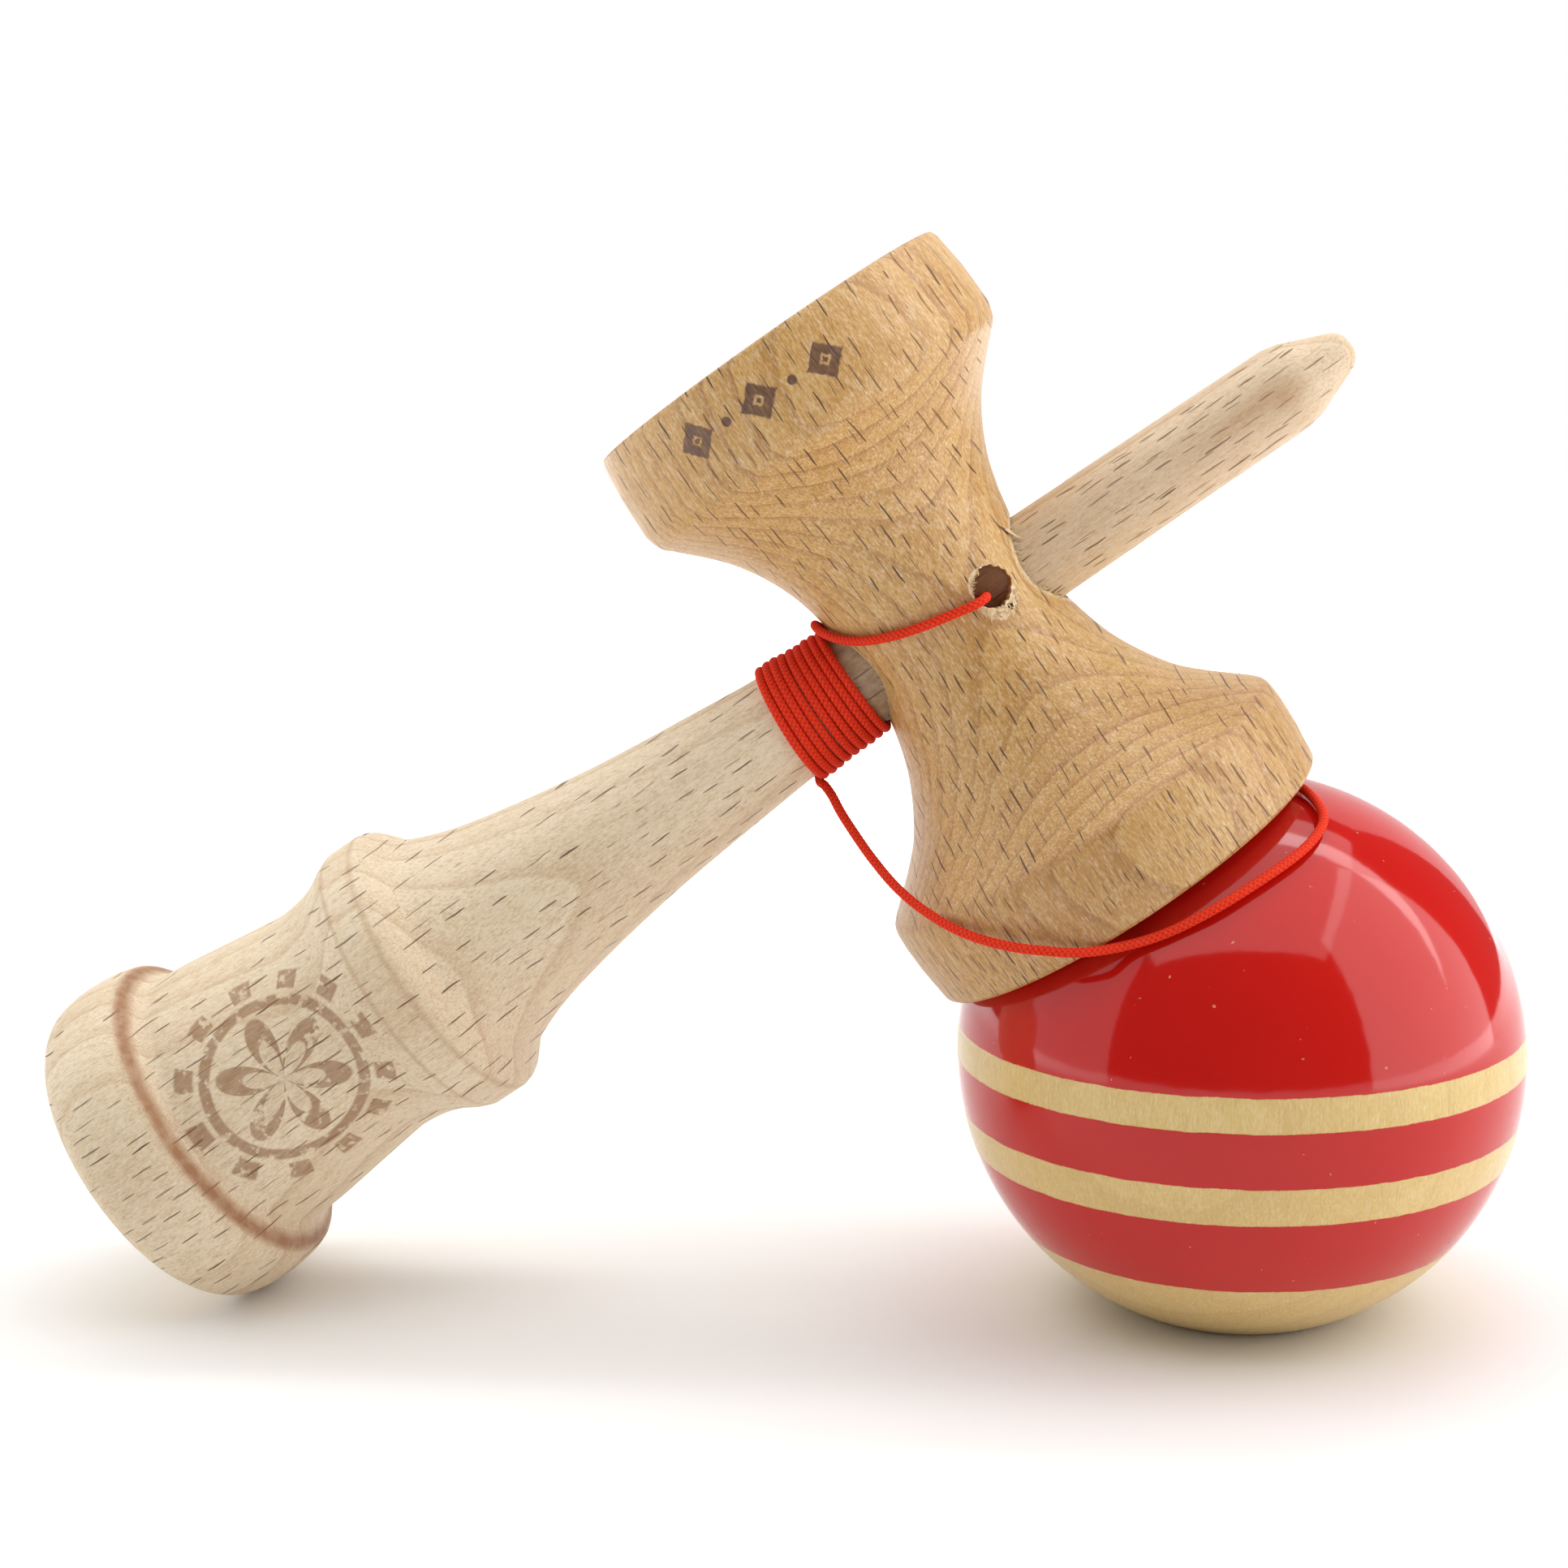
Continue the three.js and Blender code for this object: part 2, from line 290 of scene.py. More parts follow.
# ---------------------------------------------------------------- materials

# Places along the cross-piece's own axes: X to the spike, Z to the small cup.
HOLE = (5.95, -8.9, 0.7)  # middle of the string hole's mouth
HOLE_TURN = math.radians(12)  # from the front, towards the spike
HOLE_RADIUS = 2.2
KNOT = (2.5, -6.9, 0.0)  # middle of the string's knot behind the hole

LIGHT_FIBRE = (1.0, 0.95, 0.84)


def feed(tree, value, slot):
    """Puts a number, fixed or from the shader, into a node's input."""
    if isinstance(value, Num):
        tree.links.new(value.socket, slot)
    else:
        slot.default_value = value


class Num:
    """A number inside a shader, so that its formulas read as Python."""

    def __init__(self, tree, socket):
        self.tree, self.socket = tree, socket

    def op(self, operation, *others, clamp=False):
        node = self.tree.nodes.new("ShaderNodeMath")
        node.operation, node.use_clamp = operation, clamp
        for slot, value in zip(node.inputs, (self, *others)):
            feed(self.tree, value, slot)
        return Num(self.tree, node.outputs[0])

    def __add__(self, other):
        return self.op("ADD", other)

    def __sub__(self, other):
        return self.op("SUBTRACT", other)

    def __mul__(self, other):
        return self.op("MULTIPLY", other)

    def __truediv__(self, other):
        return self.op("DIVIDE", other)

    __radd__, __rmul__ = __add__, __mul__

    def size(self):
        """This number without its sign."""
        return self.op("ABSOLUTE")

    def clamped(self):
        """This number, held between 0 and 1."""
        return self.op("ADD", 0.0, clamp=True)

    def flipped(self):
        """1 minus this number."""
        return self.op("MULTIPLY", -1.0).op("ADD", 1.0)

    def below(self, limit, soft):
        """1 where this number is under limit, falling to 0 over soft."""
        return (self * (-1.0 / soft)).op("ADD", limit / soft + 0.5, clamp=True)

    def above(self, limit, soft):
        """1 where this number is over limit, falling to 0 over soft."""
        return (self * (1.0 / soft)).op("ADD", 0.5 - limit / soft, clamp=True)

    def least(self, other):
        """The smaller of the two."""
        return self.op("MINIMUM", other)

    def most(self, other):
        """The larger of the two."""
        return self.op("MAXIMUM", other)


def distance(*parts):
    """The length of a vector with these parts."""
    total = parts[0] * parts[0]
    for part in parts[1:]:
        total = total + part * part
    return total.op("SQRT")


class Paint:
    """A material, with its position in millimetres along its piece's own axes."""

    def __init__(self, name):
        self.material = bpy.data.materials.new(name)
        self.material.use_nodes = True
        self.tree = self.material.node_tree
        self.bsdf = self.tree.nodes["Principled BSDF"]
        coordinates = self.tree.nodes.new("ShaderNodeTexCoord")
        split = self.tree.nodes.new("ShaderNodeSeparateXYZ")
        self.tree.links.new(coordinates.outputs["Object"], split.inputs[0])
        self.x, self.y, self.z = (Num(self.tree, o) * 1000.0 for o in split.outputs)

    def vector(self, x, y, z):
        node = self.tree.nodes.new("ShaderNodeCombineXYZ")
        for slot, value in zip(node.inputs, (x, y, z)):
            feed(self.tree, value, slot)
        return node.outputs[0]

    def noise(self, x, y, z, detail=2.0, roughness=0.5):
        """Noise, 0 to 1 about 0.5, with one grain for each unit of the three coordinates."""
        node = self.tree.nodes.new("ShaderNodeTexNoise")
        node.inputs["Scale"].default_value = 1.0
        node.inputs["Detail"].default_value = detail
        node.inputs["Roughness"].default_value = roughness
        self.tree.links.new(self.vector(x, y, z), node.inputs["Vector"])
        return Num(self.tree, node.outputs[0])

    def chance(self, x, y, z):
        """Three numbers between 0 and 1, the same all over one whole (x, y, z)."""
        node = self.tree.nodes.new("ShaderNodeTexWhiteNoise")
        self.tree.links.new(self.vector(x, y, z), node.inputs["Vector"])
        split = self.tree.nodes.new("ShaderNodeSeparateColor")
        self.tree.links.new(node.outputs["Color"], split.inputs[0])
        return [Num(self.tree, socket) for socket in split.outputs]

    def blend(self, share, a, b):
        """Colour a where share is 0 and b where it is 1."""
        node = self.tree.nodes.new("ShaderNodeMix")
        node.data_type = "RGBA"
        feed(self.tree, share, node.inputs["Factor"])
        for name, value in (("A", a), ("B", b)):
            slot = next(s for s in node.inputs if s.name == name and s.type == "RGBA")
            if isinstance(value, bpy.types.NodeSocket):
                self.tree.links.new(value, slot)
            else:
                slot.default_value = (*value, 1.0)
        return next(o for o in node.outputs if o.type == "RGBA")

    def in_front(self, start, soft):
        """1 on the side that faces forwards (-Y), from start on."""
        return (self.y * -1.0).above(start, soft)

    def finish(self, colour, roughness, height=None, relief_mm=0.02, **constants):
        """Connects the shader. constants are fixed values of its inputs, such as IOR=1.5."""
        links = self.tree.links
        links.new(colour, self.bsdf.inputs["Base Color"])
        feed(self.tree, roughness, self.bsdf.inputs["Roughness"])
        for name, value in constants.items():
            self.bsdf.inputs[name.replace("_", " ")].default_value = value
        if height is not None:
            bump = self.tree.nodes.new("ShaderNodeBump")
            bump.inputs["Strength"].default_value = 1.0
            bump.inputs["Distance"].default_value = relief_mm * MM
            links.new(height.socket, bump.inputs["Height"])
            links.new(bump.outputs[0], self.bsdf.inputs["Normal"])
        return self.material


def srgb(red, green, blue):
    """A colour from its 0 to 255 screen values."""
    shares = [value / 255 for value in (red, green, blue)]
    return tuple(v / 12.92 if v <= 0.04045 else ((v + 0.055) / 1.055) ** 2.4 for v in shares)


def beech(
    paint, pale, deep, ring, dark, pith, ring_gap, ring_strength, dashes, dash_strength, seed
):
    """Beech with its grain along the piece's Z: growth rings round a pith beside the piece, fine
    fibre and pores, and the short dashes of its rays. Returns colour and height.
    dashes: as ray_dashes takes them. dark is their colour."""
    x, y, z = paint.x, paint.y, paint.z
    drift = paint.noise(x * 0.02 + seed, y * 0.02, z * 0.01, detail=1.0) - 0.5
    wave = paint.noise(x * 0.1 + seed, y * 0.1, z * 0.04, detail=2.0) - 0.5
    from_pith = distance(x - pith[0], y - pith[1])
    rings = (from_pith + drift * 4.5 + wave * 1.1) / ring_gap
    phase = rings.op("FRACT")
    strong = paint.noise(rings.op("FLOOR") * 3.7, seed, z * 0.01, detail=0.0)
    line = phase.op("POWER", 7.0) * phase.below(0.97, 0.05) * (strong * 1.5 + 0.2)
    cloud = paint.noise(x * 0.07 + seed, y * 0.07, z * 0.03, detail=2.0) - 0.5
    tone = phase * 0.3 + strong * 0.5 + cloud * 1.0
    fibre = paint.noise(x * 4.2 + seed, y * 4.2, z * 0.3, detail=3.0, roughness=0.6)
    pores = paint.noise(x * 5.0, y * 5.0, z * 1.7 + seed, detail=3.0, roughness=0.65)
    figure = paint.noise(x * 1.1, y * 1.1, z * 0.5 + seed, detail=4.0, roughness=0.7)
    colour = paint.blend(tone.op("ADD", -0.05, clamp=True), pale, deep)
    colour = paint.blend(line.op("MULTIPLY", ring_strength, clamp=True), colour, ring)
    shade = (fibre - 0.5) * 1.3 + (pores - 0.5) * 2.1 + (figure - 0.5) * 1.0
    colour = paint.blend((shade * -0.9).clamped(), colour, ring)
    colour = paint.blend(shade.op("MULTIPLY", 0.5, clamp=True), colour, LIGHT_FIBRE)
    dash = ray_dashes(paint, dashes, seed)
    colour = paint.blend(dash * dash_strength, colour, dark)
    height = (fibre - 0.5) * 0.5 + (pores - 0.5) * 0.6 + (figure - 0.5) * 0.3 - dash * 1.4
    return colour, height


def ray_dashes(paint, dashes, seed):
    """Thin dashes along Z in straight columns: one at most in each cell across X and along Z.
    dashes: the cell's width and length, the dashes' half length and half width, and the share of
    cells without one."""
    cell_x, cell_z, half_long, half_wide, missing = dashes
    bend = paint.noise(paint.x * 0.5 + seed, paint.y * 0.2, paint.z * 0.25, detail=2.0)
    bend = (bend - 0.5) * 0.5
    layer = paint.y * 0.13 + (paint.noise(paint.x * 0.3, seed, paint.z * 0.3) - 0.5) * 0.6
    depth, sheet = layer.op("FRACT"), layer.op("FLOOR")
    u = (paint.x + bend) / cell_x
    column = u.op("FLOOR")
    shift = paint.chance(column, sheet, seed + 0.5)[0]
    v = paint.z / cell_z + shift
    row = v.op("FLOOR")
    one, two, three = paint.chance(column + sheet * 17.0, row, seed)
    half = (one * 0.6 + 0.6) * half_long
    along = (v - row - 0.5) * cell_z + (two - 0.5) * (cell_z * 0.35)
    across = (u - column - 0.5) * cell_x + (three - 0.5) * (cell_x * 0.55)
    across = across + along * (one - 0.5) * 0.05
    reach = (along / half).size().op("POWER", 2.0)
    wide = reach.flipped().most(0.0).op("SQRT") * half_wide * (two * 0.7 + 0.65)
    dash = ((across.size() - wide) * -16.0).op("ADD", 0.5, clamp=True) * reach.below(0.95, 0.2)
    dash = dash * depth.above(0.06, 0.08) * depth.below(0.94, 0.08)
    kept = (one * 7.31 + three * 3.17).op("FRACT").above(missing, 0.02)
    return dash * kept * (three * 0.45 + 0.55)


# Heights on the handle, from the cross-piece's axis, the spike positive.
FOOT_GROOVE = -97.2
RIDGE_CRESTS = (-70.9, -67.2)
SHADED_NECK = -10.6
TIP_STAIN = 40.6


def ken_material():
    paint = Paint("handle_beech")
    colour, height = beech(
        paint, srgb(230, 211, 180), srgb(211, 186, 149), srgb(178, 136, 92), srgb(92, 46, 16),
        pith=(-4.0, 60.0), ring_gap=3.45, ring_strength=0.5, dashes=(1.5, 4.6, 1.4, 0.068, 0.22),
        dash_strength=0.95, seed=2.7,
    )
    patchy = paint.noise(paint.x * 0.7, paint.y * 0.7, paint.z * 0.7, detail=3.0)
    # Painted shade in the groove behind the foot flange, broken up by patchy noise.
    groove = (paint.z - FOOT_GROOVE).size()
    crease_shade = groove.below(0.45, 0.6) + groove.below(1.1, 1.6) * 0.3
    crease_shade = crease_shade * distance(paint.x, paint.y).below(18.7, 0.5) * (patchy * 0.7 + 0.35)
    colour = paint.blend(crease_shade.least(1.0), colour, srgb(156, 108, 70))
    lower, upper = ((paint.z - crest).size() for crest in RIDGE_CRESTS)
    crest = lower.below(0.25, 0.4).most(upper.below(0.3, 0.5))
    colour = paint.blend(crest * (patchy * 0.5 + 0.1), colour, srgb(178, 136, 98))
    # Painted shade on the stretch of the handle that sits inside the cross-piece's bore.
    bore_shade = paint.z.size().below(9.0, 0.8)
    colour = paint.blend(bore_shade * 0.5, colour, srgb(186, 120, 74))
    # Painted shade on the strip of neck between the cross-piece and the winding.
    neck_shade = (paint.z - SHADED_NECK).size().below(1.9, 0.8) * (patchy * 0.9 + 0.15)
    colour = paint.blend(neck_shade.least(1.0), colour, srgb(138, 100, 66))
    spike = paint.z.above(9.0, 3.0)
    colour = paint.blend(spike * 0.25, colour, srgb(184, 140, 94))
    streaks = ray_dashes(paint, (1.15, 5.0, 1.4, 0.072, 0.3), 6.4)
    colour = paint.blend(spike * streaks * 0.85, colour, srgb(112, 66, 30))
    stain = distance(paint.x, (paint.z - TIP_STAIN) * 0.7).below(1.1, 2.6) * 0.5
    trail = (paint.x + 0.3).size().below(0.9, 1.8)
    trail = trail * paint.z.below(40.0, 2.0) * paint.z.above(32.0, 12.0)
    stain = stain.most(trail * 0.4) * paint.in_front(1.0, 2.0)
    colour = paint.blend(stain, colour, srgb(168, 114, 64))
    colour, height = burnt_rosette(paint, colour, height)
    return paint.finish(colour, 0.5, height, relief_mm=0.06, Specular_IOR_Level=0.5)


# The split beside the bore's rim on the spike's side, painted dark as the shade in its gap: its
# middle.
SPLIT_X, SPLIT_Z = 10.15, 4.0


def torn_edges(paint, colour, height):
    """Pale torn wood round the string hole and the ends of the handle's bore, with painted shade on
    the bore's wall and in the split beside its rim.
    """
    c, s = math.cos(HOLE_TURN), math.sin(HOLE_TURN)
    q1 = (paint.x - HOLE[0]) * c + (paint.y - HOLE[1]) * s
    q2 = paint.z - HOLE[2]
    rho = distance(q1, q2)
    rough = (paint.noise(paint.x * 1.7, paint.y * 1.7, paint.z * 1.7, detail=3.0) - 0.5) * 0.9
    torn = None
    for side, wide, spread in ((262.0, 1.35, 0.3), (132.0, 0.42, 0.45)):
        side = math.radians(side)
        toward = (q1 * math.cos(side) + q2 * math.sin(side)) / rho
        reach = (toward - spread).most(0.0) * (wide / (1 - spread))
        here = (rho - HOLE_RADIUS - reach + rough * reach).below(0.0, 0.15) * reach.above(0.15, 0.1)
        torn = here if torn is None else torn.most(here)
    torn = torn * paint.y.below(-6.5, 0.5)
    out = distance(paint.x, paint.y)
    ring = distance(paint.y, paint.z)
    lip = (ring + rough * 0.8).below(5.95, 0.2) * out.above(10.5, 0.2)
    # Painted shade on the bore's wall inside the cross-piece.
    inside = out.below(10.2, 0.5) * paint.z.size().below(9.0, 1.0)
    colour = paint.blend(inside * 0.6, colour, srgb(186, 122, 76))
    # Painted shade: the gap of the split under the splinters, painted dark brown.
    gap_z = paint.z - SPLIT_Z
    gap_x = paint.x - SPLIT_X + gap_z * 0.28
    split = (gap_x.size() + gap_z.size() * 0.12).below(0.2, 0.08) * paint.y.below(-3.0, 0.5)
    colour = paint.blend(split, colour, srgb(74, 36, 18))
    flaky = (rough * 1.6 + 0.72).least(1.0).most(0.0)
    colour = paint.blend(torn.most(lip * 0.7) * flaky, colour, srgb(234, 214, 176))
    return colour, height + torn.most(lip) * (rough * 2.5 - 0.4)


BAND_TOP = -23.9  # of the large cup's band


def sarado_material():
    paint = Paint("cross_piece_beech")
    colour, height = beech(
        paint, srgb(207, 164, 97), srgb(181, 130, 64), srgb(140, 88, 38), srgb(84, 38, 8),
        pith=(-20.0, 55.0), ring_gap=1.7, ring_strength=0.6, dashes=(1.3, 4.3, 1.3, 0.07, 0.08),
        dash_strength=1.0, seed=8.3,
    )
    band = paint.z.below(BAND_TOP - 0.1, 0.5)
    crease_shade = (paint.z - BAND_TOP).size().below(0.3, 0.5)
    colour = paint.blend(band * 0.14, colour, srgb(150, 104, 52))
    # Painted shade along the crease at the top of the large cup's band.
    colour = paint.blend(crease_shade * 0.3, colour, srgb(166, 108, 60))
    fine = ray_dashes(paint, (0.85, 2.5, 0.8, 0.055, 0.2), 3.3)
    colour = paint.blend(fine * (band * 0.55 + 0.3), colour, srgb(108, 58, 20))
    colour, height = torn_edges(paint, colour, height)
    colour, height = burnt_lozenges(paint, colour, height)
    return paint.finish(colour, 0.42, height, relief_mm=0.06, Specular_IOR_Level=0.65)


ROSETTE_HEIGHT, ROSETTE_SCALE, BARREL_RADIUS = -84.2, 0.88, 14.4


def burnt_rosette(paint, colour, height):
    """A scorched emblem on the barrel's front: a ring of short rays round a six-petal flower."""
    u = paint.x.op("ARCTAN2", paint.y * -1.0) * BARREL_RADIUS
    v = paint.z - ROSETTE_HEIGHT
    rho = distance(u, v) / ROSETTE_SCALE
    theta = v.op("ARCTAN2", u)
    petal = (theta * 3.0).op("COSINE").size()
    flower = (rho - (petal * 6.6 + 1.6)).below(0.0, 0.35)
    vein = (rho - (petal * 4.6 + 0.4)).below(0.0, 0.3)
    ring = (rho - 9.6).size().below(0.7, 0.3)
    ticks = (theta * 12.0).op("COSINE").above(0.25, 0.2) * (rho - 12.2).size().below(1.2, 0.35)
    mask = flower.op("SUBTRACT", vein * 0.85, clamp=True).most(ring).most(ticks)
    worn = paint.noise(paint.x * 0.9, paint.y * 0.9, paint.z * 0.9 + 4.0, detail=3.0)
    mask = mask * worn.above(0.4, 0.12) * paint.in_front(2.0, 1.0)
    grain = paint.noise(paint.x * 2.5, paint.y * 2.5, paint.z * 0.4, detail=2.0)
    colour = paint.blend(mask * (grain * 0.5 + 0.45), colour, srgb(146, 102, 62))
    return colour, height - mask * 0.8


# On the small cup's band, in degrees round from the front and height above the handle's axis.
LOZENGES = ((-25.2, 29.4), (-4.7, 29.1), (15.2, 28.7))
DOTS = ((-15.0, 29.25), (5.3, 28.9))
SMALL_BAND_RADIUS = 21.3


def burnt_lozenges(paint, colour, height):
    """Small scorched lozenges with hollow middles, and dots between them, on the small cup."""
    angle = paint.x.op("ARCTAN2", paint.y * -1.0)
    ragged = (paint.noise(paint.x * 2.2, paint.y * 2.2, paint.z * 2.2, detail=2.0) - 0.5) * 0.35
    marks = None
    for turn, place in LOZENGES:
        u = (angle - math.radians(turn)) * SMALL_BAND_RADIUS
        v = paint.z - place
        spread = u.size() * 0.62 + v.size() * 0.62 + ragged
        mark = spread.below(1.3, 0.16) * spread.above(0.42, 0.16).most(spread.below(0.2, 0.1))
        marks = mark if marks is None else marks.most(mark)
    for turn, place in DOTS:
        u = (angle - math.radians(turn)) * SMALL_BAND_RADIUS
        v = paint.z - place
        marks = marks.most(distance(u, v).below(0.5, 0.16))
    marks = marks * paint.in_front(2.0, 1.0)
    grain = paint.noise(paint.x * 3.0, paint.y * 3.0, paint.z * 1.0, detail=3.0)
    colour = paint.blend(marks * (grain * 0.6 + 0.55), colour, srgb(84, 48, 38))
    return colour, height - marks * 1.6


# Heights of the paint's edges on the ball, from its centre: bare wood between the first two, red
# between the next two, and so on down to the bare foot.
PAINT_EDGES = (3.42, -0.07, -5.82, -9.85, -18.31)


def ball_material():
    paint = Paint("lacquer_and_maple")
    colour, height = beech(
        paint, srgb(224, 194, 128), srgb(208, 170, 100), srgb(178, 142, 88), srgb(170, 134, 84),
        pith=(20.0, 48.0), ring_gap=4.0, ring_strength=0.3, dashes=(1.6, 3.0, 0.7, 0.07, 0.5),
        dash_strength=0.35, seed=5.1,
    )
    wander = paint.noise(paint.x * 0.35, paint.y * 0.35, 1.0, detail=2.0) - 0.5
    shiver = paint.noise(paint.x * 2.2, paint.y * 2.2, 4.0, detail=2.0) - 0.5
    level = paint.z + wander * 0.28 + shiver * 0.12
    top, upper, middle, lower, foot = PAINT_EDGES
    soft = 0.1
    bare = (
        level.below(top, soft) * level.above(upper, soft)
        + level.below(middle, soft) * level.above(lower, soft)
        + level.below(foot, soft)
    )
    outside = distance(paint.x, paint.y, paint.z).above(BALL_RADIUS - 0.7, 0.2)
    red_share = (bare.flipped() * outside).clamped()
    cloud = paint.noise(paint.x * 0.06, paint.y * 0.06, paint.z * 0.06, detail=2.0)
    red = paint.blend(cloud, srgb(188, 18, 12), srgb(196, 26, 18))
    speck = paint.noise(paint.x * 1.3, paint.y * 1.3, paint.z * 1.3 + 9.0, detail=1.0)
    speck = speck.above(0.8, 0.02)
    red = paint.blend(speck * 0.6, red, srgb(232, 150, 130))
    colour = paint.blend(0.4, colour, srgb(216, 186, 120))
    shown = paint.blend(red_share, colour, red)
    peel = paint.noise(paint.x * 0.5, paint.y * 0.5, paint.z * 0.5, detail=1.0) - 0.5
    surface = height * red_share.flipped() * 0.25 + red_share * 0.7 + speck * 0.5 + peel * 0.35
    roughness = red_share * -0.16 + 0.24
    return paint.finish(shown, roughness, surface, relief_mm=0.03, IOR=1.46)


def braid_material():
    paint = Paint("red_braid")
    node = paint.tree.nodes.new("ShaderNodeAttribute")
    node.attribute_name = "braid"
    height = Num(paint.tree, node.outputs["Fac"])
    fuzz = paint.noise(paint.x * 9.0, paint.y * 9.0, paint.z * 9.0, detail=2.0)
    # Painted shade: the braid is darker where its strands sink between each other.
    colour = paint.blend(height.above(0.6, 0.8), srgb(172, 10, 6), srgb(250, 60, 24))
    colour = paint.blend((fuzz - 0.5).op("MULTIPLY", 1.6, clamp=True), colour, srgb(250, 112, 70))
    return paint.finish(colour, 0.8, fuzz, relief_mm=0.02, Specular_IOR_Level=0.2)


def plain_wood_material(name, pale, deep, seed):
    paint = Paint(name)
    colour, height = beech(
        paint, pale, deep, deep, deep, pith=(3.0, 12.0), ring_gap=1.6, ring_strength=0.4,
        dashes=(1.1, 2.6, 0.7, 0.08, 0.4), dash_strength=0.6, seed=seed,
    )
    return paint.finish(colour, 0.55, height, relief_mm=0.04)


# ---------------------------------------------------------------- turned pieces


def arc(centre, radius, start, end, steps):
    """(radius, height) points of a circle about a centre on the axis, between two angles."""
    angles = np.linspace(start, end, steps + 1)
    return [(radius * math.cos(a), centre + radius * math.sin(a)) for a in angles]


def spline(points, steps):
    """A uniform Catmull-Rom curve through (radius, height) points, with that many steps."""
    p = np.array(points, float)
    curve = []
    for t in np.linspace(0, len(p) - 1, steps + 1):
        i = min(int(t), len(p) - 2)
        w = t - i
        p0, p1, p2, p3 = p[max(i - 1, 0)], p[i], p[i + 1], p[min(i + 2, len(p) - 1)]
        v0, v1 = (p2 - p0) / 2, (p3 - p1) / 2
        cubic = 2 * p1 - 2 * p2 + v0 + v1
        square = -3 * p1 + 3 * p2 - 2 * v0 - v1
        curve.append(tuple(cubic * w**3 + square * w**2 + v0 * w + p1))
    return curve


def hollow(rim, radius, depth, side, steps):
    """A cup's hollow as part of a sphere, from its middle out to the rim."""
    sphere = (radius**2 + depth**2) / (2 * depth)
    centre = rim + side * (sphere - depth)
    return arc(centre, sphere, -side * math.pi / 2, -side * math.acos(radius / sphere), steps)


def eased(points, radius=0.25, steps=3):
    """Rounds each corner of an outline that turns by more than 20 degrees."""
    p = [np.array(q, float) for q in points]
    out = [tuple(p[0])]
    for a, b, c in zip(p, p[1:], p[2:]):
        before, after = b - a, c - b
        la, lb = np.linalg.norm(before), np.linalg.norm(after)
        turn = math.acos(max(-1.0, min(1.0, float(before @ after) / (la * lb))))
        if turn < math.radians(20):
            out.append(tuple(b))
            continue
        cut = min(radius * math.tan(turn / 2), la * 0.45, lb * 0.45)
        start, end = b - before / la * cut, b + after / lb * cut
        for i in range(steps + 1):
            w = i / steps
            out.append(tuple((1 - w) ** 2 * start + 2 * w * (1 - w) * b + w**2 * end))
    out.append(tuple(p[-1]))
    return out


def finer(points, step):
    """Extra points on long straight stretches, so that faces stay small."""
    out = [points[0]]
    for a, b in zip(points, points[1:]):
        count = max(1, math.ceil(math.dist(a, b) / step))
        for i in range(1, count + 1):
            out.append((a[0] + (b[0] - a[0]) * i / count, a[1] + (b[1] - a[1]) * i / count))
    return out


def turned(name, outline, segments, matrix, closed=False, sharp_angle=40):
    """An outline of (radius, height) in mm turned round Z. Its outer side runs upwards."""
    vertices, rings = [], []
    for radius, height in (outline[:-1] if closed else outline):
        if radius < 1e-6:
            rings.append([len(vertices)] * segments)
            vertices.append((0.0, 0.0, height * MM))
        else:
            rings.append(list(range(len(vertices), len(vertices) + segments)))
            for i in range(segments):
                angle = 2 * math.pi * i / segments
                x, y = radius * MM * math.cos(angle), radius * MM * math.sin(angle)
                vertices.append((x, y, height * MM))
    faces = []
    pairs = list(zip(rings, rings[1:])) + ([(rings[-1], rings[0])] if closed else [])
    for lower, upper in pairs:
        for i in range(segments):
            j = (i + 1) % segments
            face = [lower[i], lower[j], upper[j], upper[i]]
            face = [v for n, v in enumerate(face) if v != face[n - 1]]
            if len(face) > 2:
                faces.append(face)
    piece = add_mesh(name, vertices, faces, sharp_angle)
    piece.matrix_world = matrix
    return piece


# Stretches of the handle's outline, as (radius, height).
FOOT_FLANGE = [
    (17.7, -107.9), (18.5, -107.1), (19.05, -105.9), (19.38, -103.6), (19.3, -101.2),
    (19.0, -99), (18.6, -97.75),
]
FLANGE_BACK = [(17.7, -97.1), (16.5, -96.4), (15.9, -95.4), (15.78, -94.2)]
BARREL = [(15.5, -91.4), (14.15, -81.5), (13.95, -79), (14.28, -76.2), (14.95, -74), (15.9, -72.2)]
NECK = [
    (16.2, -66.6), (15.7, -65.9), (14.75, -65), (13.05, -63), (10.7, -56), (8.2, -42),
    (6.45, -25.5), (6.0, -20), (5.55, -13), (5.22, -2), (5.0, 12),
]
SPIKE_TIP = [(4.2, 43.5), (3.0, 46.3), (2.3, 48.0), (1.75, 48.9), (0.95, 49.4), (0, 49.5)]


def ken_outline():
    """Base cup, foot flange, barrel, ridge, neck and spike."""
    body = (
        hollow(-108.2, 15.9, 7, -1, 22)
        + [(16.1, -108.2), (16.9, -108.2)]
        + spline(FOOT_FLANGE, 22)
        + spline(FLANGE_BACK, 8)
        + spline(BARREL, 30)
        + [(16.42, -70.8), (16.42, -67.4)]
        + spline(NECK, 70)
        + [(4.62, 41.6)]
        + spline(SPIKE_TIP, 14)
    )
    return finer(eased(body, 0.35), 2.2)


